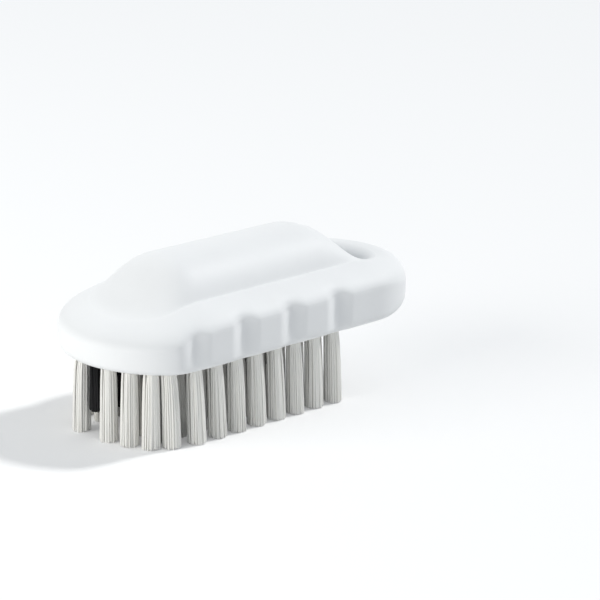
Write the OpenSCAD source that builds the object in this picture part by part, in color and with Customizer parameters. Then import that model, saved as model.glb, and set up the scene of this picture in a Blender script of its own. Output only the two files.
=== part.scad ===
/* [Body] */
// Length of the body, nose to ring end
body_l = 96; // [90:1:110]
// Width of the body between its grip grooves
body_w = 43; // [41:0.5:50]
// Height of the upright side wall's top above the underside
wall_h = 8.8; // [8:0.1:9.4]
// Height of the rounded rim above the underside
rim_h = 11.1; // [10.4:0.1:12]
// Height of the crease between shoulder and crown above the underside
crease_h = 14.2; // [13:0.1:15]
// Distance of the crease in from the side wall
crease_inset = 7.6; // [6:0.1:8]
// Height of the ring's top above the underside
ring_h = 12; // [11:0.1:13]
// Length of the rounded ring end
ring_l = 22; // [20:0.5:26]
// Radius of the lower edge along the sides
edge_r = 1.5; // [1:0.1:1.8]
// Radius of the lower edge round the ring end
ring_edge_r = 4; // [2.5:0.1:4.4]
// Height of the upright wall round the ring end
ring_wall_h = 1.4; // [0.5:0.1:2]

/* [Nose] */
// Length of the rounded nose in plan
nose_l = 15.5; // [14:0.5:20]
// Radius of the lower edge at the nose tip
nose_edge_r = 1.8; // [1:0.1:1.9]
// Height of the wall's top above the underside at the nose tip
nose_wall_h = 6.2; // [5.6:0.1:7]
// Height of the rounded rim above the underside at the nose tip
nose_rim_h = 8.1; // [7.5:0.1:9.5]
// Reach of the rim's rounding at the nose tip
nose_rim_inset = 0.7; // [0.4:0.1:1.4]
// Length over which the nose's form passes into that of the sides
nose_fade_l = 25; // [20:1:36]
// Drop of the shoulder's top towards the nose tip
nose_fall = 5.3; // [4:0.1:6]
// Length over which the shoulder's top drops
nose_fall_l = 22.5; // [18:0.1:26]

/* [Crown] */
// Height of the crown's top above the underside
crown_h = 22.1; // [20:0.1:24]
// Distance from the nose tip to where the crown starts to rise
crown_start = 7.9; // [5:0.1:10]
// Length over which the crown rises
crown_rise_l = 16.8; // [14:0.1:22]
// Softness of the crease along the crown's sides
crease_soft = 0.4; // [0.2:0.05:1]
// Softness of the crease round the crown's front
crease_front_soft = 2; // [1:0.1:5]
// Distance from the nose tip to where the crease starts to sharpen
crease_fade_start = 8; // [4:0.5:12]
// Length over which the crease sharpens
crease_fade_l = 14; // [10:0.5:20]
// Distance from the ring end to where the crown has fallen away
crown_end = 12.4; // [10:0.1:14]
// Length over which the crown falls
crown_fall_l = 20; // [15:0.5:24]

/* [Hanging hole] */
// Width of the hole's throat along the body
hole_w = 12.4; // [9:0.1:13]
// Length of the hole's throat across the body
hole_l = 22.6; // [20:0.1:23]
// Radius of the hole's soft edges beside the crown
hole_r = 2; // [1.5:0.1:2.2]
// Radius of the hole's soft edges towards the ring's far end
hole_ring_r = 5; // [3:0.1:5.2]
// Width of the ring beyond the hole
ring_band = 13; // [11:0.1:14]

/* [Grip grooves] */
// Number of grip grooves on each side
groove_n = 4; // [3:1:4]
// Distance between grip grooves
groove_pitch = 15; // [13:0.1:15.4]
// Width of a grip groove
groove_w = 9.4; // [7:0.1:10]
// Depth of a grip groove
groove_t = 1.3; // [0.5:0.1:1.6]
// Distance from the nose tip to the first grip groove
groove_start = 15.6; // [15:0.1:17]

/* [Tufts] */
// Height of the underside above the tips of the white bristles
bristle_l = 17.3; // [14:0.1:24]
// Height of the black bristles' tips above those of the white ones
black_rise = 5.8; // [2:0.1:8]
// Distance between white tufts along a row
tuft_pitch = 6.2; // [5.6:0.05:6.6]
// Distance of the outermost tufts in from the edge of the body
tuft_edge = 3.35; // [3.3:0.05:4.5]
// Distance between black tufts along their row
black_pitch = 4.7; // [4.2:0.05:5.2]
// Least distance from the nose tip to the straight rows of white tufts
tuft_to_nose = 10.4; // [10:0.1:14]
// Least distance from the nose tip to the row of black tufts
black_to_nose = 4.2; // [3.6:0.1:8]
// Distance from the last tufts to the throat of the hole
tuft_to_hole = 9.9; // [9:0.1:12]
// Diameter of a tuft hole
tuft_hole_d = 2.7; // [2.3:0.05:3]
// Depth of a tuft hole
tuft_hole_h = 7; // [5.5:0.1:7.6]
// Distance that a white tuft spreads on its way to its tip
white_spread = 0.75; // [0.2:0.05:0.8]
// Distance that a black tuft spreads on its way to its tip
black_spread = 0.35; // [0.1:0.05:0.5]
// Distance that the outermost white tufts lean out at their tips
tuft_lean = 1.2; // [0:0.1:1.4]

/* [Anchors] */
// Height of an anchor
anchor_h = 1.7; // [1.2:0.05:2.2]
// Thickness of an anchor
anchor_t = 0.4; // [0.3:0.05:0.6]
// Depth of the fold of bristles over an anchor
fold_h = 1; // [0.6:0.1:1.5]

/* [Hidden] */
$fn = 48;

// Overrun of every cut past the face that it opens
overrun = 1;

underside_z = bristle_l;
crown_z = underside_z + crown_h;
ring_z = underside_z + ring_h;
crease_z = underside_z + crease_h;

// Places along the body, with the origin under its middle
nose_x = -body_l / 2;
ring_x = body_l / 2;
hole_x = ring_x - ring_band - hole_w / 2;

// Fullness of the rounded nose and of the crown: 2 is an ellipse, more is squarer
nose_power = 1.84;
crown_power = 2.3;
// Steepness of the crown's sides: 0.5 is an ellipse's, more is gentler
crown_slope = 0.75;
// Reach of the rim's rounding
rim_inset = 0.6;
// Share of a grip groove's depth that is left at the foot of the wall
groove_foot_share = 0.6;
// Steps round half of the body: nose, each groove, ring end, and up each curve
nose_steps = 8;
groove_steps = 6;
ring_steps = 9;
edge_steps = 2;
shoulder_steps = 5;
under_steps = 2;
lip_steps = 2;
// Shares of the way from the crest to the hole at which the crown has a ring of points
crown_shares = [0.04, 0.1, 0.2, 0.33, 0.48, 0.65, 0.82, 1];

function mix(a, b, t) = a + (b - a) * t;
function smooth(t) = let (c = min(1, max(0, t))) c * c * (3 - 2 * c);

// Places of the grip grooves, and how deep they cut into the wall at x
groove_xs = [for (k = [0 : groove_n - 1]) nose_x + groove_start + k * groove_pitch];
function dip(x, c) = abs(x - c) < groove_w / 2 ? groove_t * pow(cos(180 * (x - c) / groove_w), 2) : 0;
function dips(x, k = 0) = k == groove_n ? 0 : dip(x, groove_xs[k]) + dips(x, k + 1);

side_from = nose_x + nose_l;
side_to = ring_x - ring_l;
// Least distance from a station on the side to the nose and the ring end
station_gap = 1;
side_xs = [
    for (c = groove_xs, j = [0 : groove_steps + 1])
        let (x = c + (j <= groove_steps ? groove_w * (j / groove_steps - 1 / 2) : groove_pitch / 2))
        if (x > side_from + station_gap && x < side_to - station_gap) x
];

// Half of a plan outline, nose tip to ring tip, that lies a given inset inside the body's outline
function nose_point(a, inset) = [
    side_from - (nose_l - inset) * pow(cos(a), 2 / nose_power),
    (body_w / 2 - inset) * pow(sin(a), 2 / nose_power)
];
function nose_w(x, inset) =
    let (t = max(0, side_from - x) / (nose_l - inset))
    (body_w / 2 - inset) * pow(1 - pow(min(1, t), nose_power), 1 / nose_power);
function ring_point(a, inset) = [side_to + (ring_l - inset) * sin(a), (body_w / 2 - inset) * cos(a)];
function half_loop(inset) =
    concat(
        [for (i = [0 : nose_steps]) nose_point(90 * i / nose_steps, inset)],
        [for (x = side_xs) [x, body_w / 2 - inset]],
        [for (i = [0 : ring_steps]) ring_point(90 * i / ring_steps, inset)]
    );
function both_halves(half) = concat(half, [
    for (i = [len(half) - 2 : -1 : 1]) [for (k = [0 : len(half[i]) - 1]) k == 1 ? -half[i][k] : half[i][k]]
]);

base_half = half_loop(0);
half_n = len(base_half) - 1;
loop_n = 2 * half_n;
// Shares of the ring end's form and of the nose's at each station, and the size that they give
ring_share = [for (p = base_half) smooth((p.x - side_to) / ring_l)];
nose_share = [for (p = base_half) 1 - smooth((p.x - nose_x) / nose_fade_l)];
function form(side, ring, nose, i) = mix(mix(side, ring, ring_share[i]), nose, nose_share[i]);

// Crest of the shoulder: the crease beside the crown, and from the hole on, the middle of the ring
crest_half =
    let (
        side = half_loop(crease_inset),
        ring = half_loop(ring_band / 2),
        start = hole_x - hole_w / 2 - hole_r
    )
    [for (i = [0 : half_n]) mix(side[i], ring[i], smooth((base_half[i].x - start) / (ring_x - start)))];
function crest_w(x) =
    let (w = body_w / 2 - crease_inset, r = ring_l - ring_band / 2)
    x > side_to ? w * sqrt(1 - pow(min(1, (x - side_to) / r), 2)) : nose_w(x, crease_inset);

// Outward direction of the outline at station i, from its neighbours
function outward(i) =
    let (a = base_half[max(0, i - 1)], b = base_half[min(half_n, i + 1)], d = b - a)
    i == 0 ? [-1, 0] : i == half_n ? [1, 0] : [-d.y, d.x] / norm(d);

// The same station on an outline between the hole's throat, at share 0, and the outer end of its
// soft edges, at share 1
function hole_angle(i) =
    (atan2(crest_half[i].y, crest_half[i].x - hole_x) + 180 * (1 - i / half_n)) / 2;
function lip_r(i) = mix(hole_r, hole_ring_r, pow(max(0, cos(hole_angle(i))), 2));
function hole_half(share) = [
    for (i = [0 : half_n])
        let (grow = lip_r(i) * share, a = hole_angle(i))
        [hole_x + (hole_w / 2 + grow) * cos(a), (hole_l / 2 + grow) * sin(a)]
];

function crest_z(x) =
    mix(crease_z, ring_z, smooth((x - hole_x + hole_w / 2) / (ring_x - hole_x)))
    - nose_fall * (1 - smooth((x - nose_x) / nose_fall_l));
function crown_rise(x) =
    (crown_z - crease_z) * smooth((x - nose_x - crown_start) / crown_rise_l)
    * smooth((ring_x - crown_end - x) / crown_fall_l);
// Share of the crown's height at a distance in from the crease, where the crease is soft
function crease_foot(inwards, soft) = inwards > 0 ? (norm([inwards, soft]) - soft) / inwards : 0;
function top_z(p) =
    let (
        w = crest_w(p.x),
        v = w > 0 ? min(1, abs(p.y) / w) : 1,
        sharp = smooth((p.x - nose_x - crease_fade_start) / crease_fade_l),
        soft = mix(crease_front_soft, crease_soft, sharp),
        foot = crease_foot(w - abs(p.y), soft) / crease_foot(body_w / 2 - crease_inset, soft)
    )
    crest_z(p.x) + crown_rise(p.x) * pow(1 - pow(v, crown_power), crown_slope) * foot;

// Rings of points: under the hole, round the lower edge, up the wall and shoulder, over the crown
// to the hole, and down over the hole's lip. The angle a of a rounding is 0 where its surface is
// level and 90 where it is upright
function under_ring(a) =
    let (throat = hole_half(1 - sin(a)))
    both_halves([
        for (i = [0 : half_n]) [throat[i].x, throat[i].y, underside_z + lip_r(i) * (1 - cos(a))]
    ]);
function edge_ring(a) =
    both_halves([
        for (i = [0 : half_n])
            let (
                r = form(edge_r, ring_edge_r, nose_edge_r, i),
                dip = dips(base_half[i].x) * groove_foot_share * sin(a),
                p = base_half[i] - outward(i) * (r * (1 - sin(a)) + dip)
            )
            [p.x, p.y, underside_z + r * (1 - cos(a))]
    ]);
function bezier(a, b, c, t) = mix(mix(a, b, t), mix(b, c, t), t);
function shoulder_ring(t) =
    both_halves([
        for (i = [0 : half_n])
            let (
                p = base_half[i] - outward(i) * dips(base_half[i].x) * (1 - t) * (1 - t),
                q = crest_half[i],
                foot = [0, underside_z + form(wall_h, ring_edge_r + ring_wall_h, nose_wall_h, i)],
                rim = [
                    form(rim_inset, 0, nose_rim_inset, i),
                    underside_z + form(rim_h, ring_h, nose_rim_h, i)
                ],
                s = bezier(foot, rim, [norm(q - p), crest_z(q.x)], t),
                along = s[0] / norm(q - p)
            )
            [mix(p.x, q.x, along), mix(p.y, q.y, along), s[1]]
    ]);
function top_ring(t) =
    let (lip = hole_half(1))
    both_halves([for (i = [0 : half_n]) let (p = mix(crest_half[i], lip[i], t)) [p.x, p.y, top_z(p)]]);
function lip_ring(a) =
    let (lip = hole_half(1), throat = hole_half(1 - sin(a)))
    both_halves([
        for (i = [0 : half_n]) [throat[i].x, throat[i].y, top_z(lip[i]) - lip_r(i) * (1 - cos(a))]
    ]);

rings = concat(
    [for (i = [under_steps : -1 : 0]) under_ring(90 * i / under_steps)],
    [for (i = [0 : edge_steps]) edge_ring(90 * i / edge_steps)],
    [for (i = [0 : shoulder_steps]) shoulder_ring(i / shoulder_steps)],
    [for (t = crown_shares) top_ring(t)],
    [for (i = [1 : lip_steps]) lip_ring(90 * i / lip_steps)]
);
ring_n = len(rings);

// Rows of tufts on each side of the middle, and the tufts that stand straight in one white row
row_n = 3;
row_pitch = (body_w / 2 - tuft_edge) / row_n;
last_x = hole_x - hole_w / 2 - tuft_to_hole;
white_n = floor((last_x - nose_x - tuft_to_nose) / tuft_pitch) + 1;
black_n = floor((last_x - nose_x - black_to_nose) / black_pitch) + 1;
// Shares of the turn round the nose at which the first tuft of each white row stands
nose_tuft_shares = [0.18, 0.38, 0.58];

// Each tuft is its place on the underside and the way that its tip leans. White tufts are counted
// from the one at the nose, and on the left each row outwards starts one tuft later
function white_tuft(k, side, i) =
    let (lean = tuft_lean * k / row_n, nose = nose_point(90 * nose_tuft_shares[k - 1], tuft_edge))
    i == 0 ? [[nose.x, side * nose.y], [-lean, side * lean]]
    : let (x = last_x - (white_n - i) * tuft_pitch)
        [[x, side * min(row_pitch * k, nose_w(x, tuft_edge))], [0, side * lean]];
function white_row(k, side) = [for (i = [side > 0 ? k - 1 : 0 : white_n]) white_tuft(k, side, i)];
black_row = [for (i = [0 : black_n - 1]) [[last_x - i * black_pitch, 0], [0, 0]]];

// Room round a tuft in its hole, and how far inside the hole its foot ends
tuft_gap = 0.05;
foot_inset = 0.35;
foot_z = underside_z + foot_inset;
foot_r = tuft_hole_d / 2 - tuft_gap;
tuft_top_z = underside_z + tuft_hole_h;
anchor_z = tuft_top_z - fold_h - anchor_h;
// An anchor spans its hole, but for the same room at each end
anchor_l = tuft_hole_d - 2 * tuft_gap;
// Strands of a tuft: number, turn from one tuft to the next, length fused into the foot, and the
// shares of the foot's radius and of their part of the turn that they fill
strand_n = 6;
tuft_turn = 23;
strand_root = 0.9;
strand_in_share = 0.28;
strand_out_share = 0.9;
strand_turn_share = 0.8;
// Depth to which the strands' ends are cut flat, where the brush stands on them
trim = 0.5;

// Corner of the shell at station i of ring j, and the two triangles between it and the next of each
function corner(j, i) = (j % ring_n) * loop_n + (i + loop_n) % loop_n;
function square_faces(j, i) =
    let (a = corner(j, i), b = corner(j, i + 1), c = corner(j + 1, i + 1), d = corner(j + 1, i))
    [[a, b, c], [a, c, d]];
// The underside is spanned straight across from the nose to the last station before the hole, and
// from there it meets the hole's edge
flat_j = under_steps;
span_n = max([for (i = [0 : half_n]) if (base_half[i].x < hole_x - hole_w / 2 - 2 * hole_r) i]);
under_faces = concat(
    [for (i = [0 : half_n - 1], side = [0, 1])
        let (k = side == 0 ? i : loop_n - 1 - i, end = side == 0 ? span_n : loop_n - span_n)
        each i < span_n ? [[corner(flat_j, k), corner(flat_j, k + 1), corner(flat_j + 1, end)]]
        : square_faces(flat_j, k)],
    [[corner(flat_j, 0), corner(flat_j + 1, span_n), corner(flat_j + 1, -span_n)]],
    [for (i = [span_n : -1 : 1])
        let (a = corner(flat_j + 1, -i), b = corner(flat_j + 1, i), c = corner(flat_j + 1, i - 1))
        each i == 1 ? [[a, b, c]] : [[a, b, c], [a, c, corner(flat_j + 1, 1 - i)]]]
);

module shell() {
    polyhedron(
        [for (ring = rings, p = ring) p],
        concat(
            under_faces,
            [for (j = [0 : ring_n - 1], i = [0 : loop_n - 1]) if (j != flat_j) each square_faces(j, i)]
        ),
        convexity = 8
    );
}

module anchor(h) {
    translate([-anchor_l / 2, -anchor_t / 2, 0]) cube([anchor_l, anchor_t, h]);
}

module tuft_holes(row) {
    for (tuft = row) translate([tuft[0].x, tuft[0].y, underside_z - overrun])
        cylinder(d = tuft_hole_d, h = tuft_hole_h + overrun);
}

module body() {
    color("white") difference() {
        shell();
        for (side = [-1, 1], k = [1 : row_n]) tuft_holes(white_row(k, side));
        tuft_holes(black_row);
    }
}

// One strand with four sides, from inside the foot to the trimmed tip
module strand(turn, spread, lean, tip_z) {
    half_turn = strand_turn_share * 180 / strand_n;
    corners = [
        for (c = [[strand_in_share, -1], [strand_out_share, -1], [strand_out_share, 1], [strand_in_share, 1]])
            let (a = turn + c[1] * half_turn) c[0] * foot_r * [cos(a), sin(a)]
    ];
    root_z = foot_z + strand_root;
    end_z = tip_z - trim;
    cut = (root_z - tip_z) / (root_z - end_z);
    grow = 1 + cut * spread / (strand_out_share * foot_r);
    polyhedron(
        concat(
            [for (p = corners) [p.x, p.y, root_z]],
            [for (p = corners) [p.x * grow + lean.x * cut, p.y * grow + lean.y * cut, tip_z]]
        ),
        concat(
            [[3, 2, 1], [3, 1, 0], [4, 5, 6], [4, 6, 7]],
            [for (i = [0 : 3]) each [[i, (i + 1) % 4, (i + 1) % 4 + 4], [i, (i + 1) % 4 + 4, i + 4]]]
        )
    );
}

// The folded foot, open for the anchor that it hangs on, and the strands that stand out of it
module tufts(row, spread, tip_z) {
    for (i = [0 : len(row) - 1]) translate(row[i][0]) {
        difference() {
            translate([0, 0, foot_z]) cylinder(r = foot_r, h = tuft_top_z - foot_z);
            translate([0, 0, anchor_z]) anchor(anchor_h);
        }
        for (j = [0 : strand_n - 1]) strand(i * tuft_turn + j * 360 / strand_n, spread, row[i][1], tip_z);
    }
}

module anchors(row) {
    for (tuft = row) translate([tuft[0].x, tuft[0].y, anchor_z]) anchor(anchor_h);
}

module white_tufts(k, side) { color("whitesmoke") tufts(white_row(k, side), white_spread, 0); }
module white_anchors(k, side) { color("silver") anchors(white_row(k, side)); }
module tufts_outer_right() { white_tufts(3, -1); }
module tufts_middle_right() { white_tufts(2, -1); }
module tufts_inner_right() { white_tufts(1, -1); }
module tufts_centre() { color("black") tufts(black_row, black_spread, black_rise); }
module tufts_inner_left() { white_tufts(1, 1); }
module tufts_middle_left() { white_tufts(2, 1); }
module tufts_outer_left() { white_tufts(3, 1); }
module anchors_outer_right() { white_anchors(3, -1); }
module anchors_middle_right() { white_anchors(2, -1); }
module anchors_inner_right() { white_anchors(1, -1); }
module anchors_centre() { color("silver") anchors(black_row); }
module anchors_inner_left() { white_anchors(1, 1); }
module anchors_middle_left() { white_anchors(2, 1); }
module anchors_outer_left() { white_anchors(3, 1); }

body();
tufts_outer_right();
tufts_middle_right();
tufts_inner_right();
tufts_centre();
tufts_inner_left();
tufts_middle_left();
tufts_outer_left();
anchors_outer_right();
anchors_middle_right();
anchors_inner_right();
anchors_centre();
anchors_inner_left();
anchors_middle_left();
anchors_outer_left();
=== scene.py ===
"""Nail brush: a white moulded grip over seven rows of bristle tufts, one of them black and short."""

import logging
import math
from dataclasses import dataclass, field
from enum import Enum
from functools import cached_property
from typing import Any, NamedTuple

import bmesh
import bpy
import numpy as np
from bpy.types import ID, Material, Mesh, Node, NodeSocket, NodeTree, Object
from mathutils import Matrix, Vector
from mathutils.geometry import delaunay_2d_cdt


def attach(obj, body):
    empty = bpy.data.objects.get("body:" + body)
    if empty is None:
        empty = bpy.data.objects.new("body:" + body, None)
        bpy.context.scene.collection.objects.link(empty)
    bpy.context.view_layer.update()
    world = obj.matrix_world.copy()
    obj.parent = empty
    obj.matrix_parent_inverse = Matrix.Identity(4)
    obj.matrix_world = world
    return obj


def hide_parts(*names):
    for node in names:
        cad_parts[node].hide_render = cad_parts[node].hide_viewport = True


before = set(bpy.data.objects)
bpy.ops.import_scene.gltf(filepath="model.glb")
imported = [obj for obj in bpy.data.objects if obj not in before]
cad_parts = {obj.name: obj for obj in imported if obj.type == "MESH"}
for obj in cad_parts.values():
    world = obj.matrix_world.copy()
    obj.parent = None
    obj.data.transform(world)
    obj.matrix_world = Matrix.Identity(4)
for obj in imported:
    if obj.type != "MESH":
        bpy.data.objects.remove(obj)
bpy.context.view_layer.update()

MM = 0.001
TINY = 1e-6
MERGE = 1e-7
NOISE_MIDDLE = 0.5
QUARTER_TURN = 90
LOG = logging.getLogger("nail_brush")

Span = tuple[float, float]
Triple = tuple[float, float, float]
Values = dict[int | str, Any]


# Objects


def add_object(name: str, data: ID) -> Object:
    """Makes an object and puts it in the scene.

    Args:
        name: The object's name.
        data: Its mesh, lamp or camera.

    Returns:
        The object.
    """
    obj = bpy.data.objects.new(name, data)
    bpy.context.scene.collection.objects.link(obj)
    return obj


def turn_back(obj: Object, back: Vector) -> None:
    """Turns a lamp or camera so that its back points the given way, with its top up."""
    obj.rotation_mode = "QUATERNION"
    obj.rotation_quaternion = back.to_track_quat("Z", "Y")


def smooth(mesh: Mesh, sharp_from: float) -> None:
    """Shades a mesh smooth, apart from edges of an angle of sharp_from degrees and more."""
    mesh.polygons.foreach_set("use_smooth", [True] * len(mesh.polygons))
    mesh.set_sharp_from_angle(angle=math.radians(sharp_from))


# Node graphs


@dataclass
class Signal:
    """A node's output that can be joined to others with plain arithmetic."""

    graph: "Graph"
    socket: NodeSocket

    def apply(self, operation: str, *terms: Any) -> "Signal":
        """Joins terms by one maths node, a vector one where any term is a vector or colour.

        Args:
            operation: The node's operation, such as ADD.
            terms: The node's inputs in order.

        Returns:
            The result.
        """
        vector = any(
            isinstance(t, tuple) or isinstance(t, Signal) and t.socket.type in ("VECTOR", "RGBA")
            for t in terms
        )
        kind = "ShaderNodeVectorMath" if vector else "ShaderNodeMath"
        return self.graph.node(kind, {"operation": operation}, dict(enumerate(terms))).out(0)

    def through(self, operation: str, *others: Any) -> "Signal":
        """The signal passed through one maths node, such as COSINE, as its first input."""
        return self.apply(operation, self, *others)

    def __add__(self, other: Any) -> "Signal":
        """Sum of two signals."""
        return self.apply("ADD", self, other)

    def __radd__(self, other: Any) -> "Signal":
        """Sum with a plain value on the left."""
        return self.apply("ADD", other, self)

    def __sub__(self, other: Any) -> "Signal":
        """Difference of two signals."""
        return self.apply("SUBTRACT", self, other)

    def __rsub__(self, other: Any) -> "Signal":
        """Difference from a plain value on the left."""
        return self.apply("SUBTRACT", other, self)

    def __mul__(self, other: Any) -> "Signal":
        """Product of two signals."""
        return self.apply("MULTIPLY", self, other)

    def __truediv__(self, other: Any) -> "Signal":
        """Quotient of two signals."""
        return self.apply("DIVIDE", self, other)

    def __pow__(self, other: Any) -> "Signal":
        """Power of a signal."""
        return self.apply("POWER", self, other)

    def part(self, axis: int) -> "Signal":
        """One component of a vector, 0 for x, 1 for y and 2 for z."""
        return self.graph.node("ShaderNodeSeparateXYZ", {}, {0: self}).out(axis)


@dataclass
class NodeHandle:
    """A node of a graph, whose outputs are reached by name or index."""

    graph: "Graph"
    node: Node

    def out(self, key: int | str = 0) -> Signal:
        """An output of the node, by name among the ones in use, or by index."""
        return Signal(self.graph, find_socket(self.node.outputs, key))


def find_socket(sockets: Any, key: int | str) -> NodeSocket:
    """A node's socket.

    Args:
        sockets: The node's inputs or outputs.
        key: An index, or the name of a socket that is in use.

    Returns:
        The socket.
    """
    if isinstance(key, int):
        return sockets[key]
    return next(s for s in sockets if s.name == key and s.enabled)


@dataclass
class Graph:
    """A node tree and short ways to fill it."""

    tree: NodeTree

    def node(self, kind: str, settings: Values | None = None, inputs: Values | None = None) -> NodeHandle:
        """Adds one node.

        Args:
            kind: The node's type.
            settings: The node's own settings, set before its sockets.
            inputs: Values and signals for its inputs, by name or index.

        Returns:
            The node.
        """
        node = self.tree.nodes.new(kind)
        for name, value in (settings or {}).items():
            setattr(node, name, value)
        for key, value in (inputs or {}).items():
            self.feed(find_socket(node.inputs, key), value)
        return NodeHandle(self, node)

    def feed(self, socket: NodeSocket, value: Any) -> None:
        """Links a signal to an input, or sets its value.

        Args:
            socket: The input socket.
            value: A signal, number, tuple or name.
        """
        if isinstance(value, Signal):
            self.tree.links.new(value.socket, socket)
        elif socket.type == "RGBA" and len(value) == 3:
            socket.default_value = (*value, 1)
        else:
            socket.default_value = value

    def mix(self, a: Any, b: Any, share: Any, kind: str = "FLOAT") -> Signal:
        """A mix of two values, of kind FLOAT or RGBA, with a share of b from 0 to 1."""
        settings = {"data_type": kind, "clamp_factor": True}
        return self.node("ShaderNodeMix", settings, {"Factor": share, "A": a, "B": b}).out("Result")

    def ramp(self, value: Signal, low: float, high: float, to_low: float = 0, to_high: float = 1) -> Signal:
        """A value stretched smoothly from the range low to high to the range to_low to to_high."""
        inputs = {0: value, 1: low, 2: high, 3: to_low, 4: to_high}
        return self.node("ShaderNodeMapRange", {"interpolation_type": "SMOOTHSTEP"}, inputs).out("Result")

    def combine(self, x: Any, y: Any, z: Any) -> Signal:
        """A vector of three values."""
        return self.node("ShaderNodeCombineXYZ", {}, {0: x, 1: y, 2: z}).out()


# Finishes


@dataclass(frozen=True)
class Pattern:
    """Noise in object space: lumps per metre, number of finer layers, and how each axis is squeezed."""

    scale: float
    detail: float = 2
    stretch: Triple = (1, 1, 1)


class MaterialGraph(Graph):
    """The node tree of one material, with its shader and texture coordinates."""

    def __init__(self, name: str) -> None:
        """Starts a material with an empty principled shader.

        Args:
            name: The material's name.
        """
        self.material = bpy.data.materials.new(name)
        self.material.use_nodes = True
        super().__init__(self.material.node_tree)
        self.tree.nodes.clear()
        self.shader = self.node("ShaderNodeBsdfPrincipled")
        self.output = self.node("ShaderNodeOutputMaterial", {}, {"Surface": self.shader.out()})
        self.place = self.node("ShaderNodeTexCoord").out("Object")

    def shape(self, **inputs: Any) -> None:
        """Sets inputs of the shader, named with underscores for spaces."""
        for name, value in inputs.items():
            self.feed(find_socket(self.shader.node.inputs, name.replace("_", " ")), value)

    def noise(self, pattern: Pattern) -> Signal:
        """A noise pattern, from 0 to 1."""
        inputs = {"Vector": self.place * pattern.stretch, "Scale": pattern.scale, "Detail": pattern.detail}
        return self.node("ShaderNodeTexNoise", {}, inputs).out(0)

    def bump(self, height: Signal, depth: float, strength: float, below: Signal | None = None) -> Signal:
        """A bumped normal.

        Args:
            height: The height pattern, from 0 to 1.
            depth: Its depth in metres.
            strength: How strongly it shows.
            below: A bumped normal that this one adds to.

        Returns:
            The normal.
        """
        inputs = {"Height": height, "Distance": depth, "Strength": strength}
        if below is not None:
            inputs["Normal"] = below
        return self.node("ShaderNodeBump", {}, inputs).out()


@dataclass(frozen=True)
class MouldingFinish:
    """Satin white plastic: faintly mottled, with a fine skin and a softer shine where hands rub it."""

    tone: Triple = (0.89, 0.9, 0.905)
    shade: Triple = (0.865, 0.873, 0.878)
    roughness: float = 0.55
    rubbed_roughness: float = 0.5
    shine: float = 0.25
    mottle: Pattern = Pattern(70, 3)
    mottle_span: Span = (0.35, 0.75)
    mottle_share: float = 0.55
    specks: Pattern = Pattern(900)
    speck_span: Span = (0.6, 0.8)
    speck_share: float = 0.3
    speck_roughness: float = 0.06
    rubbed_z: Span = (26 * MM, 37 * MM)
    rubbed_span: Span = (0.35, 0.6)
    rubbed_least: float = 0.5
    ripple: Pattern = Pattern(190, 1)
    ripple_depth: float = 0.03 * MM
    ripple_strength: float = 0.35
    skin: Pattern = Pattern(2600)
    skin_depth: float = 0.003 * MM
    skin_strength: float = 0.5

    def material(self) -> Material:
        """Builds the material.

        Returns:
            The material.
        """
        g = MaterialGraph("white_moulding")
        mottle, specks = g.noise(self.mottle), g.noise(self.specks)
        shaded = g.ramp(mottle, *self.mottle_span) * self.mottle_share
        shaded = shaded + g.ramp(specks, *self.speck_span) * self.speck_share
        rubbed = g.ramp(mottle, *self.rubbed_span, self.rubbed_least)
        rubbed = g.ramp(g.place.part(2), *self.rubbed_z) * rubbed
        grain = (specks - NOISE_MIDDLE) * self.speck_roughness
        ripple = g.bump(g.noise(self.ripple), self.ripple_depth, self.ripple_strength)
        g.shape(
            Base_Color=g.mix(self.tone, self.shade, shaded, "RGBA"),
            Roughness=g.mix(self.roughness, self.rubbed_roughness, rubbed) + grain,
            Specular_IOR_Level=self.shine,
            Normal=g.bump(g.noise(self.skin), self.skin_depth, self.skin_strength, ripple),
        )
        return g.material


@dataclass(frozen=True)
class BristleFinish:
    """Nylon filament: each one a little different, with painted shade that darkens it towards the root under
    the body, and a soft shine.
    """

    name: str
    light: Triple
    dark: Triple
    # Painted shade: the colour the filaments darken to where they enter the body
    root: Triple
    roughness: float
    root_z: float
    tip_z: float
    shine: float = 0.3
    tone_share: float = 0.7
    streaks: Pattern = Pattern(2400, 2, (1, 1, 0.08))
    streak_share: float = 0.4
    streak_span: Span = (0.3, 0.7)
    smoother: float = 0.06
    rougher: float = 0.08
    root_shade_share: float = 0.6
    bump_depth: float = 0.01 * MM
    bump_strength: float = 0.4

    def material(self) -> Material:
        """Builds the material.

        Returns:
            The material.
        """
        g = MaterialGraph(self.name)
        tone = g.node("ShaderNodeAttribute", {"attribute_name": "tone"}).out("Fac")
        streak = g.noise(self.streaks)
        # Painted shade: towards the body each filament darkens to the root colour, as in the shade under the
        # body
        along = g.ramp(g.place.part(2), self.tip_z, self.root_z)
        fibre = g.mix(self.light, self.dark, tone * self.tone_share + streak * self.streak_share, "RGBA")
        limits = (self.roughness - self.smoother, self.roughness + self.rougher)
        g.shape(
            Base_Color=g.mix(fibre, self.root, along * along * self.root_shade_share, "RGBA"),
            Roughness=g.ramp(streak, *self.streak_span, *limits),
            Normal=g.bump(streak, self.bump_depth, self.bump_strength),
            Specular_IOR_Level=self.shine,
        )
        return g.material


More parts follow.
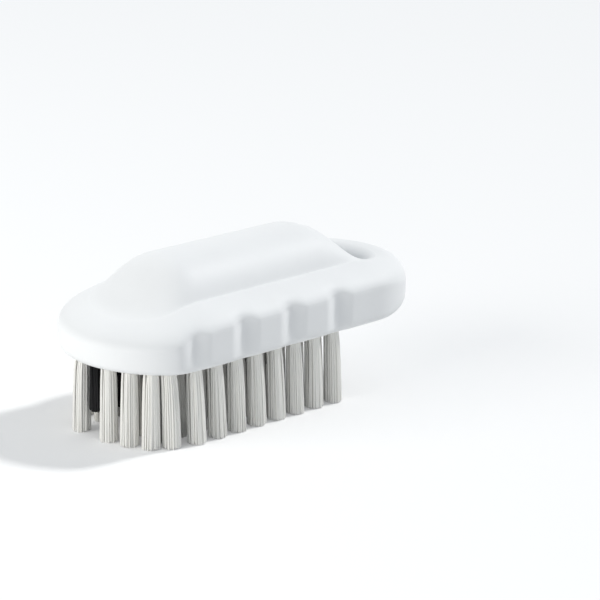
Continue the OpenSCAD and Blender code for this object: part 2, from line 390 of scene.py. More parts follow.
@dataclass(frozen=True)
class AnchorFinish:
    """Cut strip metal with fine drawn lines."""

    tone: Triple = (0.72, 0.7, 0.66)
    worn: Triple = (0.5, 0.48, 0.45)
    lines: Pattern = Pattern(1400, 3, (0.05, 1, 4))
    worn_span: Span = (0.4, 0.75)
    rough_span: Span = (0.3, 0.7)
    roughness: Span = (0.26, 0.42)
    line_depth: float = 0.01 * MM
    line_strength: float = 0.5

    def material(self) -> Material:
        """Builds the material.

        Returns:
            The material.
        """
        g = MaterialGraph("anchor_metal")
        lines = g.noise(self.lines)
        g.shape(
            Base_Color=g.mix(self.tone, self.worn, g.ramp(lines, *self.worn_span), "RGBA"),
            Metallic=1.0,
            Roughness=g.ramp(lines, *self.rough_span, *self.roughness),
            Normal=g.bump(lines, self.line_depth, self.line_strength),
        )
        return g.material


# The moulded body


def ease(t: np.ndarray) -> np.ndarray:
    """A smooth step from 0 to 1."""
    c = np.clip(t, 0, 1)
    return c * c * (3 - 2 * c)


def blend(a: Any, b: Any, t: Any) -> Any:
    """A straight mix of two values."""
    return a + (b - a) * t


def inside(points: np.ndarray, loop: np.ndarray) -> np.ndarray:
    """Which points lie inside a closed outline.

    Args:
        points: The points, one a row.
        loop: The outline's corners, one a row.

    Returns:
        True for each point inside.
    """
    a, b = loop[None, :, :], np.roll(loop, -1, 0)[None, :, :]
    p = points[:, None, :]
    straddles = (a[..., 1] > p[..., 1]) != (b[..., 1] > p[..., 1])
    rise = np.where(straddles, b[..., 1] - a[..., 1], 1)
    x = a[..., 0] + (p[..., 1] - a[..., 1]) * (b[..., 0] - a[..., 0]) / rise
    return (np.sum(straddles & (p[..., 0] < x), axis=1) % 2).astype(bool)


@dataclass
class BrushBody:
    """The white moulding: nose, side walls with finger grooves, shoulder, crown and ring. Sizes in mm."""

    length: float = 96
    width: float = 43
    underside: float = 17.3
    wall_h: float = 8.8
    rim_h: float = 11.1
    rim_inset: float = 0.6
    crease_h: float = 13.7
    crease_inset: float = 7.6
    crease_soft: float = 0.5
    crease_front_soft: float = 2
    crease_fade_start: float = 8
    crease_fade_l: float = 14
    ring_h: float = 12
    nose_l: float = 15.5
    nose_power: float = 1.84
    ring_l: float = 22
    ring_band: float = 13
    nose_edge_r: float = 1.8
    nose_wall_h: float = 5.4
    nose_rim_h: float = 8.5
    nose_rim_inset: float = 0.9
    nose_fade_l: float = 25
    nose_fall: float = 4.8
    nose_fall_l: float = 22.5
    edge_r: float = 1.5
    ring_edge_r: float = 4
    ring_wall_h: float = 1.4
    crown_h: float = 22.1
    crown_power: float = 2.3
    crown_slope: float = 0.75
    crown_start: float = 7.9
    crown_rise_l: float = 16.8
    crown_end: float = 12.4
    crown_fall_l: float = 20
    hole_w: float = 12.4
    hole_l: float = 22.6
    hole_r: float = 2
    hole_ring_r: float = 5
    groove_n: int = 4
    groove_pitch: float = 15
    groove_w: float = 9.4
    groove_t: float = 1.6
    groove_start: float = 15.6
    groove_foot_share: float = 0.6
    tuft_hole_r: float = 1.35
    tuft_hole_h: float = 7
    tuft_hole_sides: int = 20
    nose_steps: int = 40
    side_steps: int = 150
    ring_steps: int = 44
    edge_rings: int = 7
    wall_rings: int = 9
    shoulder_rings: int = 25
    top_rings: int = 57
    top_crowding: float = 1.7
    lip_rings: int = 8
    throat_rings: int = 6
    sharp_from: float = 40
    tuft_places: list[Span] = field(default_factory=list)

    @property
    def nose_x(self) -> float:
        """Place of the nose tip."""
        return -self.length / 2

    @property
    def ring_x(self) -> float:
        """Place of the ring's far end."""
        return self.length / 2

    @property
    def side_from(self) -> float:
        """Where the nose passes into the side walls."""
        return self.nose_x + self.nose_l

    @property
    def side_to(self) -> float:
        """Where the side walls pass into the ring end."""
        return self.ring_x - self.ring_l

    @property
    def hole_x(self) -> float:
        """Middle of the hanging hole."""
        return self.ring_x - self.ring_band - self.hole_w / 2

    def nose_w(self, x: np.ndarray, inset: float) -> np.ndarray:
        """Half the width, at x along the nose and side walls, of an outline inside the body's own."""
        t = np.clip((self.side_from - x) / (self.nose_l - inset), 0, 1)
        return (self.width / 2 - inset) * (1 - t ** self.nose_power) ** (1 / self.nose_power)

    def half_loop(self, inset: float) -> np.ndarray:
        """Half of a plan outline inside the body's own, nose tip to ring tip.

        Args:
            inset: Distance inside the body's outline.

        Returns:
            Its points, one a row.
        """
        a = np.radians(np.linspace(0, QUARTER_TURN, self.nose_steps + 1))
        w = self.width / 2 - inset
        nose = np.stack([
            self.side_from - (self.nose_l - inset) * np.cos(a).clip(0) ** (2 / self.nose_power),
            w * np.sin(a) ** (2 / self.nose_power),
        ], -1)
        xs = np.linspace(self.side_from, self.side_to, self.side_steps + 1)[1:-1]
        side = np.stack([xs, np.full_like(xs, w)], -1)
        a = np.radians(np.linspace(0, QUARTER_TURN, self.ring_steps + 1))
        ring = np.stack([self.side_to + (self.ring_l - inset) * np.sin(a), w * np.cos(a)], -1)
        return np.concatenate([nose, side, ring])

    @cached_property
    def base(self) -> np.ndarray:
        """Half of the body's own outline."""
        return self.half_loop(0)

    @cached_property
    def ring_share(self) -> np.ndarray:
        """Share of the ring end's form at each station, as a column."""
        return ease((self.base[:, 0] - self.side_to) / self.ring_l)[:, None]

    @cached_property
    def nose_share(self) -> np.ndarray:
        """Share of the nose's form at each station, as a column."""
        return 1 - ease((self.base[:, 0] - self.nose_x) / self.nose_fade_l)[:, None]

    def form(self, side: float, ring: float, nose: float) -> np.ndarray:
        """A size at each station, as a column, from its values on the sides, at the ring and at the nose."""
        return blend(blend(side, ring, self.ring_share), nose, self.nose_share)

    @cached_property
    def crest(self) -> np.ndarray:
        """Top of the shoulder: the crease beside the crown, the middle of the band round the ring.

        Returns:
            Its points in plan, one a row.
        """
        start = self.hole_x - self.hole_w / 2 - self.hole_r
        share = ease((self.base[:, 0] - start) / (self.ring_x - start))[:, None]
        return blend(self.half_loop(self.crease_inset), self.half_loop(self.ring_band / 2), share)

    @cached_property
    def outward(self) -> np.ndarray:
        """Outward direction of the outline at each station.

        Returns:
            Unit vectors, one a row.
        """
        d = np.gradient(self.base, axis=0)
        n = np.stack([-d[:, 1], d[:, 0]], -1)
        n /= np.linalg.norm(n, axis=1, keepdims=True)
        n[0], n[-1] = (-1, 0), (1, 0)
        return n

    @cached_property
    def dips(self) -> np.ndarray:
        """Depth of the finger grooves at each station.

        Returns:
            The depths, as a column.
        """
        middles = self.nose_x + self.groove_start + np.arange(self.groove_n) * self.groove_pitch
        d = self.base[:, :1] - middles
        dip = self.groove_t * np.cos(np.pi * d / self.groove_w) ** 2
        return np.where(np.abs(d) < self.groove_w / 2, dip, 0).sum(axis=1, keepdims=True)

    def crest_w(self, x: np.ndarray) -> np.ndarray:
        """Half the width between the creases at x.

        Args:
            x: Places along the body.

        Returns:
            Half widths.
        """
        t = np.clip((x - self.side_to) / (self.ring_l - self.ring_band / 2), 0, 1)
        ring = (self.width / 2 - self.crease_inset) * np.sqrt(1 - t * t)
        return np.where(x > self.side_to, ring, self.nose_w(np.minimum(x, self.side_to), self.crease_inset))

    def crest_z(self, x: np.ndarray) -> np.ndarray:
        """Height of the shoulder's top above the table.

        Args:
            x: Places along the body.

        Returns:
            Heights.
        """
        span = self.ring_x - self.hole_x
        fall = self.nose_fall * (1 - ease((x - self.nose_x) / self.nose_fall_l))
        thick = blend(self.crease_h, self.ring_h, ease((x - self.hole_x + self.hole_w / 2) / span))
        return self.underside + thick - fall

    def top_z(self, p: np.ndarray) -> np.ndarray:
        """Height of the top surface above the table.

        Args:
            p: Points in plan, one a row.

        Returns:
            Heights.
        """
        x, y = p[:, 0], np.abs(p[:, 1])
        w = self.crest_w(x)
        v = np.clip(y / np.maximum(w, TINY), 0, 1)
        rise = ease((x - self.nose_x - self.crown_start) / self.crown_rise_l)
        rise = rise * ease((self.ring_x - self.crown_end - x) / self.crown_fall_l)
        arch = (1 - v ** self.crown_power) ** self.crown_slope
        fade = ease((x - self.nose_x - self.crease_fade_start) / self.crease_fade_l)
        soft = blend(self.crease_front_soft, self.crease_soft, fade)
        inwards = np.maximum(w - y, TINY)
        half = self.width / 2 - self.crease_inset
        foot = (np.hypot(inwards, soft) - soft) / inwards * half / (np.hypot(half, soft) - soft)
        return self.crest_z(x) + (self.crown_h - self.crease_h) * rise * arch * foot

    @cached_property
    def hole_angle(self) -> np.ndarray:
        """Angle round the hanging hole of each station, in radians."""
        share = 1 - np.arange(len(self.base)) / (len(self.base) - 1)
        return (np.arctan2(self.crest[:, 1], self.crest[:, 0] - self.hole_x) + np.pi * share) / 2

    @cached_property
    def lip_r(self) -> np.ndarray:
        """Radius of the hanging hole's soft edges at each station."""
        return blend(self.hole_r, self.hole_ring_r, np.cos(self.hole_angle).clip(0) ** 2)

    def hole_loop(self, share: float) -> np.ndarray:
        """Half of an outline of the hanging hole, from its throat at share 0 to its lip's end at share 1."""
        x, y = self.hole_w / 2 + self.lip_r * share, self.hole_l / 2 + self.lip_r * share
        return np.stack([self.hole_x + x * np.cos(self.hole_angle), y * np.sin(self.hole_angle)], -1)

    def under_ring(self, a: float) -> np.ndarray:
        """Half a ring of the hole's lower lip, a from 0, level, to a quarter turn, upright."""
        p = self.hole_loop(1 - math.sin(a))
        return np.column_stack([p, self.underside + self.lip_r * (1 - math.cos(a))])

    def edge_ring(self, a: float) -> np.ndarray:
        """Half a ring of the lower outer edge.

        Args:
            a: Angle from 0, level, to a quarter turn, upright.

        Returns:
            Its points, one a row.
        """
        r = self.form(self.edge_r, self.ring_edge_r, self.nose_edge_r)
        dip = self.dips * self.groove_foot_share * math.sin(a)
        p = self.base - self.outward * (r * (1 - math.sin(a)) + dip)
        return np.column_stack([p, self.underside + r[:, 0] * (1 - math.cos(a))])

    def shoulder_ring(self, t: float) -> np.ndarray:
        """Half a ring of the wall's top and the shoulder, a curve from the wall over the rim to the crest.

        Args:
            t: Way along the curve, from 0 at the wall to 1 at the crest.

        Returns:
            Its points, one a row.
        """
        first, middle, last = (1 - t) ** 2, 2 * t * (1 - t), t * t
        p = self.base - self.outward * self.dips * first
        reach = np.linalg.norm(self.crest - p, axis=1)
        foot = self.form(self.wall_h, self.ring_edge_r + self.ring_wall_h, self.nose_wall_h)[:, 0]
        rim = self.form(self.rim_h, self.ring_h, self.nose_rim_h)[:, 0]
        along = middle * self.form(self.rim_inset, 0, self.nose_rim_inset)[:, 0] + last * reach
        z = first * (self.underside + foot) + middle * (self.underside + rim)
        z = z + last * self.crest_z(self.crest[:, 0])
        return np.column_stack([blend(p, self.crest, (along / reach)[:, None]), z])

    def wall_ring(self, t: float) -> np.ndarray:
        """Half a ring of the upright wall, t from 0 at the lower edge to 1 at the shoulder."""
        return blend(self.edge_ring(math.radians(QUARTER_TURN)), self.shoulder_ring(0), t)

    def top_ring(self, t: float) -> np.ndarray:
        """Half a ring of the top surface, t from 0 at the crest to 1 at the hole's lip."""
        p = blend(self.crest, self.hole_loop(1), t)
        return np.column_stack([p, self.top_z(p)])

    def lip_ring(self, a: float) -> np.ndarray:
        """Half a ring of the hole's upper lip, a from 0, level, to a quarter turn, upright."""
        p = self.hole_loop(1 - math.sin(a))
        return np.column_stack([p, self.top_z(self.hole_loop(1)) - self.lip_r * (1 - math.cos(a))])

    def throat_ring(self, t: float) -> np.ndarray:
        """Half a ring of the hole's throat, t from 0 at the upper lip to 1 at the lower one."""
        quarter = math.radians(QUARTER_TURN)
        return blend(self.lip_ring(quarter), self.under_ring(quarter), t)

    def rings(self) -> np.ndarray:
        """All rings from the lower outer edge up, over the crown and down through the hole.

        Returns:
            Points by ring, station and coordinate, in mm.
        """
        quarter = math.radians(QUARTER_TURN)
        halves = [self.edge_ring(a) for a in np.linspace(0, quarter, self.edge_rings)]
        halves += [self.wall_ring(t) for t in np.linspace(0, 1, self.wall_rings)[1:-1]]
        halves += [self.shoulder_ring(t) for t in np.linspace(0, 1, self.shoulder_rings)[:-1]]
        halves += [self.top_ring(t) for t in np.linspace(0, 1, self.top_rings) ** self.top_crowding]
        halves += [self.lip_ring(a) for a in np.linspace(0, quarter, self.lip_rings)[1:]]
        halves += [self.throat_ring(t) for t in np.linspace(0, 1, self.throat_rings)[1:-1]]
        halves += [self.under_ring(a) for a in np.linspace(quarter, 0, self.lip_rings)]
        return np.stack([np.concatenate([h, (h * (1, -1, 1))[-2:0:-1]]) for h in halves])

    @cached_property
    def mouths(self) -> np.ndarray:
        """Outlines of the tuft holes' mouths.

        Returns:
            Points by hole, corner and coordinate, in mm.
        """
        turn = np.linspace(0, 2 * np.pi, self.tuft_hole_sides, endpoint=False)
        circle = self.tuft_hole_r * np.stack([np.cos(turn), np.sin(turn)], -1)
        return np.array(self.tuft_places)[:, None, :] + circle

    def skin_faces(self, ring_n: int, loop_n: int) -> list[list[int]]:
        """Faces between neighbouring rings.

        Args:
            ring_n: Number of rings.
            loop_n: Number of points in a ring.

        Returns:
            The numbers of each face's corners.
        """
        j, i = np.meshgrid(np.arange(ring_n - 1), np.arange(loop_n), indexing="ij")
        a, b = j * loop_n + i, j * loop_n + (i + 1) % loop_n
        return np.stack([a, b, b + loop_n, a + loop_n], -1).reshape(-1, 4).tolist()

    def underside_faces(self, rings: np.ndarray) -> list[list[int]]:
        """Faces of the flat underside, round the hanging hole and the tuft holes.

        Args:
            rings: The body's rings.

        Returns:
            The numbers of each face's corners, the mouths' points counted on from the rings' points.
        """
        ring_n, loop_n = rings.shape[:2]
        loops = [rings[0, :, :2], rings[-1, :, :2], *self.mouths]
        starts = np.cumsum([0] + [len(loop) for loop in loops])
        edges = [
            (start + k, start + (k + 1) % len(loop))
            for start, loop in zip(starts, loops)
            for k in range(len(loop))
        ]
        flat = np.concatenate(loops)
        _, _, triangles, origins, _, _ = delaunay_2d_cdt([Vector(p) for p in flat], edges, [], 0, MERGE)
        triangles = np.array([o[0] for o in origins])[np.array(triangles)]
        centres = flat[triangles].mean(axis=1)
        kept = inside(centres, loops[0])
        for loop in loops[1:]:
            kept &= ~inside(centres, loop)
        after = np.arange((ring_n - 1) * loop_n, ring_n * loop_n + self.mouths[..., 0].size)
        return np.concatenate([np.arange(loop_n), after])[triangles[kept]].tolist()

    def hole_faces(self, first: int) -> list[list[int]]:
        """Walls and beds of the tuft holes.

        Args:
            first: Number of the mouths' first point.

        Returns:
            The numbers of each face's corners, the beds' points counted on from the mouths' points.
        """
        faces, step = [], self.mouths[..., 0].size
        for start in range(first, first + step, self.tuft_hole_sides):
            ring = start + np.arange(self.tuft_hole_sides)
            after = np.roll(ring, -1)
            faces += np.stack([ring, after, after + step, ring + step], -1).tolist()
            faces.append((ring + step).tolist())
        return faces

    def build(self) -> Object:
        """Builds the body as one closed mesh.

        Returns:
            The body's object.
        """
        rings = self.rings()
        points = rings.reshape(-1, 3)
        faces = self.skin_faces(*rings.shape[:2])
        faces += self.underside_faces(rings) + self.hole_faces(len(points))
        levels = [
            np.dstack([self.mouths, np.full(self.mouths.shape[:2], z)]).reshape(-1, 3)
            for z in (self.underside, self.underside + self.tuft_hole_h)
        ]
        mesh = bpy.data.meshes.new("body_moulding")
        mesh.from_pydata((np.concatenate([points, *levels]) * MM).tolist(), [], faces)
        shape = bmesh.new()
        shape.from_mesh(mesh)
        bmesh.ops.recalc_face_normals(shape, faces=shape.faces)
        shape.to_mesh(mesh)
        shape.free()
        smooth(mesh, self.sharp_from)
        return add_object("body_moulding", mesh)

    def dress(self, obj: Object, finish: Material) -> None:
        """Gives the body its finish and its place in the frame.

        Args:
            obj: The body's object.
            finish: The plastic.
        """
        obj.data.materials.append(finish)
        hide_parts("body")
        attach(obj, "root")


# The tufts


class Side(Enum):
    """Side of the brush on which a row stands, as the sign of y."""

    RIGHT = -1
    CENTRE = 0
    LEFT = 1


class TuftPlace(NamedTuple):
    """Where one tuft stands, and how far its tip leans. Sizes in mm."""

    x: float
    y: float
    lean_x: float = 0
    lean_y: float = 0


@dataclass
class TuftPlan:
    """Where every tuft stands on the underside. Sizes in mm."""

    body: BrushBody
    edge: float = 3.35
    pitch: float = 6.2
    black_pitch: float = 4.7
    to_nose: float = 10.4
    black_to_nose: float = 4.2
    to_hole: float = 9.9
    lean: float = 1.2
    rows: int = 3
    nose_shares: Triple = (0.18, 0.38, 0.58)

    @property
    def last_x(self) -> float:
        """Place of the last tufts before the hole."""
        return self.body.hole_x - self.body.hole_w / 2 - self.to_hole

    def count(self, pitch: float, to_nose: float) -> int:
        """Number of tufts in line between the nose and the last place."""
        return math.floor((self.last_x - self.body.nose_x - to_nose) / pitch) + 1

    def white_row(self, k: int, side: Side) -> list[TuftPlace]:
        """One white row, counted outwards from the middle.

        Args:
            k: Row number from 1.
            side: Side of the brush.

        Returns:
            The place of each tuft.
        """
        body, sign, power = self.body, side.value, 2 / self.body.nose_power
        count = self.count(self.pitch, self.to_nose)
        lean = self.lean * k / self.rows
        a = math.radians(QUARTER_TURN * self.nose_shares[k - 1])
        nose_x = body.side_from - (body.nose_l - self.edge) * math.cos(a) ** power
        nose_y = (body.width / 2 - self.edge) * math.sin(a) ** power
        row = [TuftPlace(nose_x, sign * nose_y, -lean, sign * lean)]
        widest = (body.width / 2 - self.edge) / self.rows * k
        for i in range(1, count + 1):
            x = self.last_x - (count - i) * self.pitch
            y = min(widest, float(body.nose_w(np.array(x), self.edge)))
            row.append(TuftPlace(x, sign * y, 0, sign * lean))
        return row[k - 1 if side is Side.LEFT else 0:]

    def black_row(self) -> list[TuftPlace]:
        """The black row down the middle."""
        count = self.count(self.black_pitch, self.black_to_nose)
        return [TuftPlace(self.last_x - i * self.black_pitch, 0) for i in range(count)]


class FilamentTree:
    """The node tree that grows a bundle of filaments out of every tuft's place.

    SIZES holds the value of each named input, with lengths in metres. Where it is 0, each row gives its own.
    """

    SIZES = {
        "Filaments": 0,
        "Filament radius": 0.19 * MM,
        "Bundle radius": 1.5 * MM,
        "Tip spread": 0.0,
        "Anchor gap": 0.37 * MM,
        "Root height": 24.1 * MM,
        "Mouth height": 17.6 * MM,
        "Tip height": 0.0,
        "Ragged": 0.4 * MM,
        "Flare": 0.5,
        "Stray": 0.1 * MM,
        "Bend": 0.14 * MM,
        "Sides": 6,
        "Steps": 6,
        "Seed": 0,
    }
    GOLDEN_ANGLE = math.pi * (3 - math.sqrt(5))
    TUFT_TURN = 2.1
    LEAST_BOW = 0.2
    TAPER_START = 0.86
    TIP_RADIUS_SHARE = 0.72
    SHARP_FROM = 65

    def __init__(self) -> None:
        """Builds the tree."""
        self.tree = bpy.data.node_groups.new("bristle_filaments", "GeometryNodeTree")
        new_socket = self.tree.interface.new_socket
        new_socket("Geometry", in_out="INPUT", socket_type="NodeSocketGeometry")
        new_socket("Geometry", in_out="OUTPUT", socket_type="NodeSocketGeometry")
        for name, value in self.SIZES.items():
            kind = "NodeSocketInt" if isinstance(value, int) else "NodeSocketFloat"
            new_socket(name, in_out="INPUT", socket_type=kind).default_value = value
        new_socket("Finish", in_out="INPUT", socket_type="NodeSocketMaterial")
        self.graph = Graph(self.tree)
        self.given = self.graph.node("NodeGroupInput")
        self.fill()

    def size(self, name: str) -> Signal:
        """One of the tree's named inputs."""
        return self.given.out(name)

    def chance(self, low: Any, high: Any, shift: int) -> Signal:
        """A random number for each filament, with the seed shifted so that each use differs."""
        inputs = {"Min": low, "Max": high, "Seed": self.size("Seed") + shift}
        return self.graph.node("FunctionNodeRandomValue", {"data_type": "FLOAT"}, inputs).out("Value")

    def step(self, kind: str, out: str = "Geometry", settings: Values | None = None, **inputs: Any) -> Signal:
        """One output of a new geometry node, whose inputs are named with underscores for spaces."""
        named = {name.replace("_", " "): value for name, value in inputs.items()}
        return self.graph.node(f"GeometryNode{kind}", settings, named).out(out)

    def keep(self, points: Signal, name: str, value: Signal) -> Signal:
        """The points with a number or vector stored on each, by name."""
        settings = {"data_type": "FLOAT_VECTOR" if value.socket.type == "VECTOR" else "FLOAT"}
        return self.step("StoreNamedAttribute", settings=settings, Geometry=points, Name=name, Value=value)

    def kept(self, name: str, kind: str = "FLOAT_VECTOR") -> Signal:
        """A value stored before, by name."""
        return self.step("InputNamedAttribute", "Attribute", {"data_type": kind}, Name=name)

    def ends(self, points: Signal, number: Signal) -> Signal:
        """Gives each filament a root, a tip, a bow and a tone.

        Args:
            points: A point for each filament, at its tuft's place.
            number: The filament's number in its tuft.

        Returns:
            The points with these values.
        """
        g, bundle, gap, stray = self.graph, *map(self.size, ("Bundle radius", "Anchor gap", "Stray"))
        angle = number * self.GOLDEN_ANGLE + self.kept("turn", "FLOAT")
        # The golden angle and the square root fill the bundle's disc evenly
        wide = ((number + 0.5) / self.size("Filaments")) ** 0.5 * bundle
        dx, dy = wide * angle.through("COSINE"), wide * angle.through("SINE")
        at = g.node("GeometryNodeInputPosition").out()
        root = at + g.combine(dx, dy * (1 - gap / bundle) + dy.through("SIGN") * gap, 0)
        grow = 1 + self.size("Tip spread") / bundle
        tip = at + self.kept("lean") + g.combine(
            dx * grow + self.chance(0 - stray, stray, 1),
            dy * grow + self.chance(0 - stray, stray, 2),
            self.size("Tip height") + self.chance(0.0, self.size("Ragged"), 3),
        )
        way = self.chance(0.0, math.tau, 4)
        bow = g.combine(way.through("COSINE"), way.through("SINE"), 0) * self.size("Bend")
        bow = bow * self.chance(self.LEAST_BOW, 1.0, 5)
        tone = self.chance(0.0, 1.0, 6)
        for name, value in (("root", root), ("tip", tip), ("bow", bow), ("tone", tone)):
            points = self.keep(points, name, value)
        return points

    def path(self, t: Signal) -> Signal:
        """Where a filament runs: upright in its hole, then outwards in a bow.

        Args:
            t: Way along the filament, from 0 at its root to 1 at its tip.

        Returns:
            The place.
        """
        root_z, mouth_z = self.size("Root height"), self.size("Mouth height")
        tip = self.kept("tip")
        tip_z = tip.part(2)
        mouth_t = (root_z - mouth_z) / (root_z - tip_z)
        out = ((t - mouth_t) / (1 - mouth_t)).through("MAXIMUM", 0.0) ** self.size("Flare")
        flat_root = self.kept("root") * (1, 1, 0)
        # 0 at the mouth and the tip, and 1 half-way
        bulge = out * (1 - out) * 4
        flat = flat_root + (tip * (1, 1, 0) - flat_root) * out + self.kept("bow") * bulge
        return flat + self.graph.combine(0, 0, root_z + (tip_z - root_z) * t)

    def fill(self) -> None:
        """Adds the tree's nodes: ends, lines, paths, thickness and finish."""
        g = self.graph
        inputs = {"Geometry": self.size("Geometry"), "Amount": self.size("Filaments")}
        copies = g.node("GeometryNodeDuplicateElements", {"domain": "POINT"}, inputs)
        points = self.ends(copies.out("Geometry"), copies.out("Duplicate Index"))
        line = self.step("CurvePrimitiveLine", "Curve", Start=(0, 0, 0), End=(0, 0, 1))
        line = self.step("ResampleCurve", "Curve", Curve=line, Count=self.size("Steps"))
        strands = self.step("InstanceOnPoints", "Instances", Points=points, Instance=line)
        strands = self.step("RealizeInstances", Geometry=strands)
        t = g.node("GeometryNodeSplineParameter").out("Factor")
        strands = self.step("SetPosition", Geometry=strands, Position=self.path(t))
        thin = g.ramp(t, self.TAPER_START, 1.0, 1.0, self.TIP_RADIUS_SHARE)
        strands = self.step("SetCurveRadius", "Curve", Curve=strands, Radius=thin)
        sides, radius = self.size("Sides"), self.size("Filament radius")
        ring = self.step("CurvePrimitiveCircle", "Curve", Resolution=sides, Radius=radius)
        mesh = self.step("CurveToMesh", "Mesh", Curve=strands, Profile_Curve=ring, Fill_Caps=True)
        mesh = self.step("SetMaterial", Geometry=mesh, Material=self.size("Finish"))
        g.node("NodeGroupOutput", {}, {"Geometry": mesh})

    def grow(self, name: str, row: list[TuftPlace], sizes: dict[str, Any]) -> Object:
        """Grows the filaments of one row.

        Args:
            name: The new object's name.
            row: The place of each tuft.
            sizes: Values for the tree's named inputs.

        Returns:
            The row as a plain mesh object.
        """
        places = bpy.data.meshes.new("places")
        places.from_pydata([(tuft.x * MM, tuft.y * MM, 0) for tuft in row], [], [])
        leans = [value * MM for tuft in row for value in (tuft.lean_x, tuft.lean_y, 0)]
        places.attributes.new("lean", "FLOAT_VECTOR", "POINT").data.foreach_set("vector", leans)
        turns = [i * self.TUFT_TURN for i in range(len(row))]
        places.attributes.new("turn", "FLOAT", "POINT").data.foreach_set("value", turns)
        seed = add_object("places", places)
        modifier = seed.modifiers.new("filaments", "NODES")
        modifier.node_group = self.tree
        for item in self.tree.interface.items_tree:
            if item.in_out == "INPUT" and item.name in sizes:
                modifier[item.identifier] = sizes[item.name]
        depsgraph = bpy.context.evaluated_depsgraph_get()
        mesh = bpy.data.meshes.new_from_object(seed.evaluated_get(depsgraph), depsgraph=depsgraph)
        bpy.data.objects.remove(seed)
        for spare in ("root", "tip", "bow", "lean", "turn"):
            mesh.attributes.remove(mesh.attributes[spare])
        mesh.name = name
        smooth(mesh, self.SHARP_FROM)
        return add_object(name, mesh)


@dataclass
class TuftRow:
    """One row of tufts. Sizes in mm."""

    name: str
    places: list[TuftPlace]
    slot: str
    tip_z: float
    spread: float
    seed: int
    filaments: int = 110

    def build(self, tree: FilamentTree, finish: Material) -> Object:
        """Grows the row's filaments.

        Args:
            tree: The node tree that grows them.
            finish: Their material.

        Returns:
            The row's object.
        """
        sizes = {"Filaments": self.filaments, "Tip height": self.tip_z * MM, "Tip spread": self.spread * MM}
        sizes |= {"Seed": self.seed, "Finish": finish}
        return tree.grow(f"bristles_{self.name}", self.places, sizes)

    def dress(self, obj: Object) -> None:
        """Puts the row in the place of its plain tufts.

        Args:
            obj: The row's object.
        """
        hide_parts(f"tufts_{self.name}")
        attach(obj, "root")

    def fasten(self, steel: Material) -> Object:
        """Gives the row's anchors their metal.

        Args:
            steel: The metal.

        Returns:
            The anchors' object.
        """
        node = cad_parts[f"anchors_{self.name}"]
        for slot in node.material_slots:
            slot.material = steel
        return node


# The studio


@dataclass
class Studio:
    """Pale floor, white surroundings and soft lamps. Lengths in metres, angles in radians."""

    floor_size: float = 8
    floor_tone: float = 0.83
    floor_roughness: float = 0.9
    floor_glow: float = 0.18
    sky: float = 0.44
    sky_tint: Triple = (0.93, 0.99, 1.05)
    key_power: float = 1.82
    key_tint: Triple = (1, 0.995, 0.985)
    key_way: Triple = (1.0, -0.2, 1)
    key_size: float = 0.12
    fill_power: float = 4.05
    fill_tint: Triple = (1, 0.98, 0.94)
    fill_place: Triple = (-0.77, 0.2, 0.27)
    fill_aim: Triple = (0, 0, 0.02)
    fill_size: Span = (0.7, 0.5)

    def seen(self, g: Graph) -> Signal:
        """1 for camera, mirror and glass rays, 0 for the light that falls on surfaces.

        Args:
            g: The graph to add it to.

        Returns:
            The mask.
        """
        path = g.node("ShaderNodeLightPath")
        total = path.out("Is Camera Ray") + path.out("Is Glossy Ray") + path.out("Is Transmission Ray")
        return total.through("MINIMUM", 1.0)

    def floor(self) -> None:
        """Builds the floor."""
        s = self.floor_size / 2
        mesh = bpy.data.meshes.new("floor")
        mesh.from_pydata([(-s, -s, 0), (s, -s, 0), (s, s, 0), (-s, s, 0)], [], [(0, 1, 2, 3)])
        obj = add_object("floor", mesh)
        g = MaterialGraph("floor_white")
        g.shape(Base_Color=(self.floor_tone,) * 3, Roughness=self.floor_roughness, Specular_IOR_Level=0.0)
        inputs = {"Color": (1, 1, 1), "Strength": self.seen(g) * self.floor_glow}
        glow = g.node("ShaderNodeEmission", {}, inputs)
        both = g.node("ShaderNodeAddShader", {}, {0: g.shader.out(), 1: glow.out()})
        g.feed(g.output.node.inputs["Surface"], both.out())
        mesh.materials.append(g.material)

    def surroundings(self) -> None:
        """Lights the scene from all sides, and shows white behind it."""
        world = bpy.data.worlds.new("white_surroundings")
        bpy.context.scene.world = world
        world.use_nodes = True
        g = Graph(world.node_tree)
        world.node_tree.nodes.clear()
        light = g.mix(tuple(self.sky * c for c in self.sky_tint), (1, 1, 1), self.seen(g), "RGBA")
        shade = g.node("ShaderNodeBackground", {}, {"Color": light, "Strength": 1.0})
        g.node("ShaderNodeOutputWorld", {}, {"Surface": shade.out()})

    def lamps(self) -> None:
        """Adds the key lamp, high on the right, and the broad fill on the left."""
        key = bpy.data.lights.new("key_lamp", "SUN")
        key.energy, key.angle, key.color = self.key_power, self.key_size, self.key_tint
        turn_back(add_object("key_lamp", key), Vector(self.key_way))
        fill = bpy.data.lights.new("fill_lamp", "AREA")
        fill.energy, fill.color, fill.shape = self.fill_power, self.fill_tint, "RECTANGLE"
        fill.size, fill.size_y = self.fill_size
        lamp = add_object("fill_lamp", fill)
        lamp.location = self.fill_place
        turn_back(lamp, lamp.location - Vector(self.fill_aim))

    def build(self) -> None:
        """Builds the whole studio."""
        self.floor()
        self.surroundings()
        self.lamps()
        bpy.context.scene.view_settings.view_transform = "Standard"


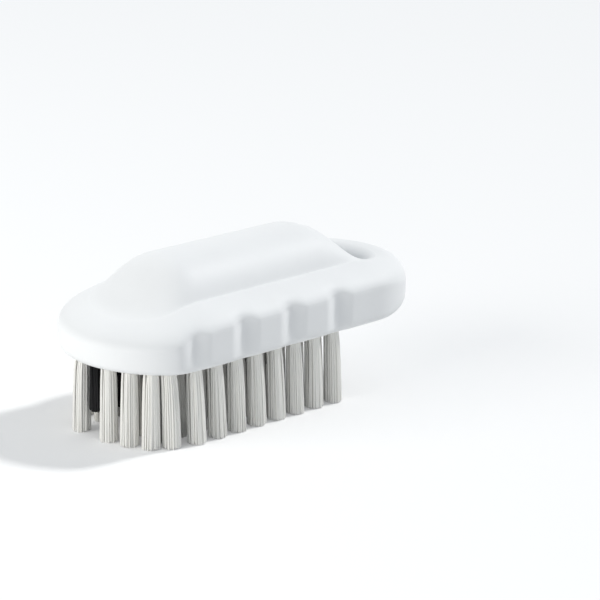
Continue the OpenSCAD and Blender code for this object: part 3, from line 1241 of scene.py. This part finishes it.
@dataclass
class PhotoCamera:
    """The camera that sees the brush as the photograph does. Places in metres, angles in degrees."""

    azimuth: float = -41.97
    elevation: float = 17.2
    distance: float = 0.5683
    target: Triple = (-0.0121, 0, 0.02067)
    lens: float = 145.24
    sensor: float = 36
    shift: Span = (0.1653, 0.0341)
    clip: Span = (0.01, 50)

    def build(self) -> None:
        """Builds the camera and makes it the scene's own."""
        a, e = math.radians(self.azimuth), math.radians(self.elevation)
        back = Vector((math.sin(a) * math.cos(e), -math.cos(a) * math.cos(e), math.sin(e)))
        data = bpy.data.cameras.new("photo_camera")
        data.lens, data.sensor_width = self.lens, self.sensor
        data.shift_x, data.shift_y = self.shift
        data.clip_start, data.clip_end = self.clip
        obj = add_object("photo_camera", data)
        obj.location = Vector(self.target) + back * self.distance
        turn_back(obj, back)
        bpy.context.scene.camera = obj


# Assembly


@dataclass
class NailBrush:
    """The whole brush: body, tuft rows and anchors. Sizes in mm."""

    black_tip_z: float = 5.8
    white_spread: float = 0.6
    black_spread: float = 0.3
    row_seed: int = 10
    black_seed: int = 7

    def rows(self, plan: TuftPlan) -> list[TuftRow]:
        """All rows of tufts.

        Args:
            plan: Where the tufts stand.

        Returns:
            The rows.
        """
        rows = []
        for side in (Side.RIGHT, Side.LEFT):
            for k, name in enumerate(("inner", "middle", "outer"), 1):
                places = plan.white_row(k, side)
                seed = self.row_seed * k + side.value
                label = f"{name}_{side.name.lower()}"
                rows.append(TuftRow(label, places, "white_bristle", 0, self.white_spread, seed))
        black = (self.black_tip_z, self.black_spread, self.black_seed)
        return [*rows, TuftRow("centre", plan.black_row(), "black_bristle", *black)]

    def bristles(self, body: BrushBody) -> dict[str, Material]:
        """Materials of the white and the black bristles.

        Args:
            body: The body that they stand in.

        Returns:
            The materials by slot.
        """
        root_z = body.underside * MM
        # The root colours are painted shade where the filaments enter the body
        white = BristleFinish(
            name="white_bristle", light=(0.96, 0.95, 0.915), dark=(0.9, 0.89, 0.85), root=(0.88, 0.87, 0.83),
            roughness=0.42, root_z=root_z, tip_z=0,
        )
        black = BristleFinish(
            name="black_bristle", light=(0.03, 0.03, 0.031), dark=(0.01, 0.01, 0.011),
            root=(0.008, 0.008, 0.009), roughness=0.6, root_z=root_z, tip_z=self.black_tip_z * MM, shine=0.1,
        )
        return {finish.name: finish.material() for finish in (white, black)}

    def build(self) -> None:
        """Builds and dresses every piece."""
        body = BrushBody()
        rows = self.rows(TuftPlan(body))
        body.tuft_places = [place[:2] for row in rows for place in row.places]
        moulding = body.build()
        body.dress(moulding, MouldingFinish().material())
        report(moulding)
        tree, finishes, steel = FilamentTree(), self.bristles(body), AnchorFinish().material()
        for row in rows:
            piece = row.build(tree, finishes[row.slot])
            row.dress(piece)
            report(piece)
            report(row.fasten(steel))


def report(obj: Object) -> None:
    """Reports a finished piece through the log."""
    LOG.info("%s: %d faces", obj.name, len(obj.data.polygons))


def main() -> None:
    """Builds the camera, the studio and the brush."""
    logging.basicConfig(level=logging.INFO, format="%(name)s %(message)s")
    PhotoCamera().build()
    Studio().build()
    NailBrush().build()


if __name__ == "__main__":
    main()
